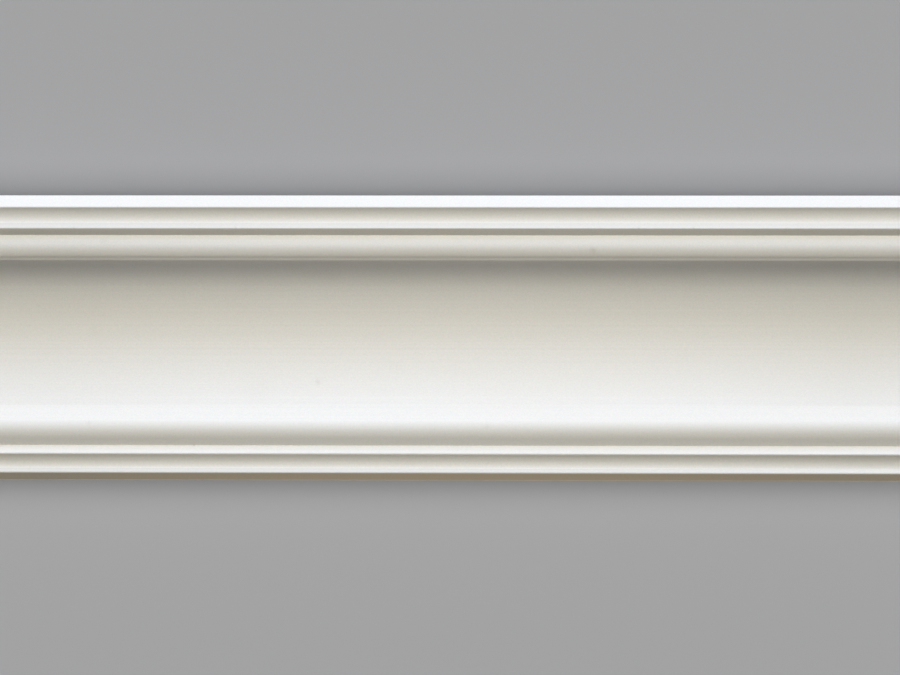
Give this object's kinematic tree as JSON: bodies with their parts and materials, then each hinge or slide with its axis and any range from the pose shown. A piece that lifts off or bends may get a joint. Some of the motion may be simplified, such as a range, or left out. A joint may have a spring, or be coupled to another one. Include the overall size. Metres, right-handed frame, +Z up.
{
  "type": "plaster cornice",
  "caption": "Straight length of cast plaster cornice with a large cove between stepped fillets, ovolos and small cavettos, for the angle of wall and ceiling.",
  "frame": {"origin": "under the middle of the length, at the centre of the box's underside, on the floor that the sprung back lies on", "axes": "+X along the length, +Y across the face towards the ceiling edge, +Z up, out of the face"},
  "size_m": [2, 0.157, 0.0455],
  "materials": {
    "plaster": "smooth matt cast plaster, off-white"
  },
  "bodies": {
    "root": {"cornice": "plaster"}
  },
  "joints": []
}
